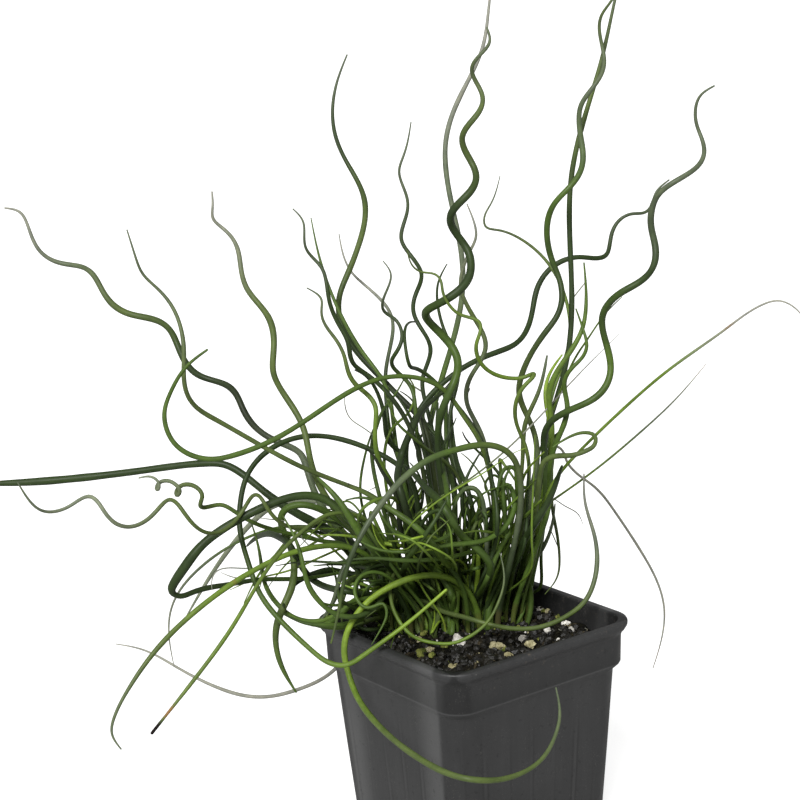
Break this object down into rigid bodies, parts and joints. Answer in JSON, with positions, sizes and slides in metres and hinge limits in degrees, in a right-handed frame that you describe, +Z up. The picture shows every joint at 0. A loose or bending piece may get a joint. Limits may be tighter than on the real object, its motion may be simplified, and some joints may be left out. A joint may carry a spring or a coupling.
{
  "type": "potted soft rush",
  "caption": "Corkscrew soft rush growing in a square black nursery pot with potting soil.",
  "frame": {"origin": "middle of the pot's flat underside", "axes": "+Z up the pot, X and Y square to the pot's sides; the pictured corner points to -X -Y"},
  "size_m": [0.332, 0.3498, 0.3596],
  "materials": {
    "black_pot_plastic": "matte",
    "dark_soil": "rough, with pale perlite",
    "rush_green": "satin"
  },
  "bodies": {
    "root": {"pot": "black_pot_plastic", "soil": "dark_soil", "far_left_stem": "rush_green", "upper_left_thin_stem": "rush_green", "left_bow_stem": "rush_green", "olive_corkscrew_stem": "rush_green", "tall_dark_stem": "rush_green", "slim_left_corkscrew": "rush_green", "slim_left_companion": "rush_green", "yellow_green_corkscrew": "rush_green", "faint_middle_stem": "rush_green", "middle_corkscrew": "rush_green", "upright_thin_corkscrew": "rush_green", "hooked_green_stem": "rush_green", "short_middle_stem": "rush_green", "curling_centre_stem": "rush_green", "blurred_tall_stem": "rush_green", "dark_wavy_stem": "rush_green", "tall_straight_stem": "rush_green", "tall_twining_stem": "rush_green", "right_curly_stem": "rush_green", "right_kinked_stem": "rush_green", "bent_pale_stem": "rush_green", "sliver_stem": "rush_green", "twisted_right_stem": "rush_green", "pale_short_stem": "rush_green", "long_right_stem": "rush_green", "lower_right_thin_stem": "rush_green", "crossing_hair_stem": "rush_green", "drooping_right_stem": "rush_green", "arc_over_soil": "rush_green", "front_hanging_loop": "rush_green", "big_left_loop": "rush_green", "thin_soil_loop": "rush_green", "grey_arch_stem": "rush_green", "thick_left_stem": "rush_green", "left_wavy_stem": "rush_green", "small_corkscrew_stem": "rush_green", "thick_bent_stem": "rush_green", "long_lower_left_arc": "rush_green", "brown_tipped_stem": "rush_green", "faint_low_stem": "rush_green", "thin_grey_stem": "rush_green", "blurred_left_stem": "rush_green", "loop_left_of_pot": "rush_green", "short_rim_stem": "rush_green", "small_right_loop": "rush_green", "thin_back_droop": "rush_green", "short_straight_stem": "rush_green", "left_rim_stem": "rush_green", "left_slant_stem": "rush_green", "olive_rim_stem": "rush_green", "long_nest_arc": "rush_green", "low_nest_arc": "rush_green", "curled_nest_stem": "rush_green", "front_nest_stem": "rush_green", "crossing_nest_stem": "rush_green", "small_arch_stem": "rush_green", "inner_arch_stem": "rush_green", "rim_curl_stem": "rush_green"}
  },
  "joints": []
}
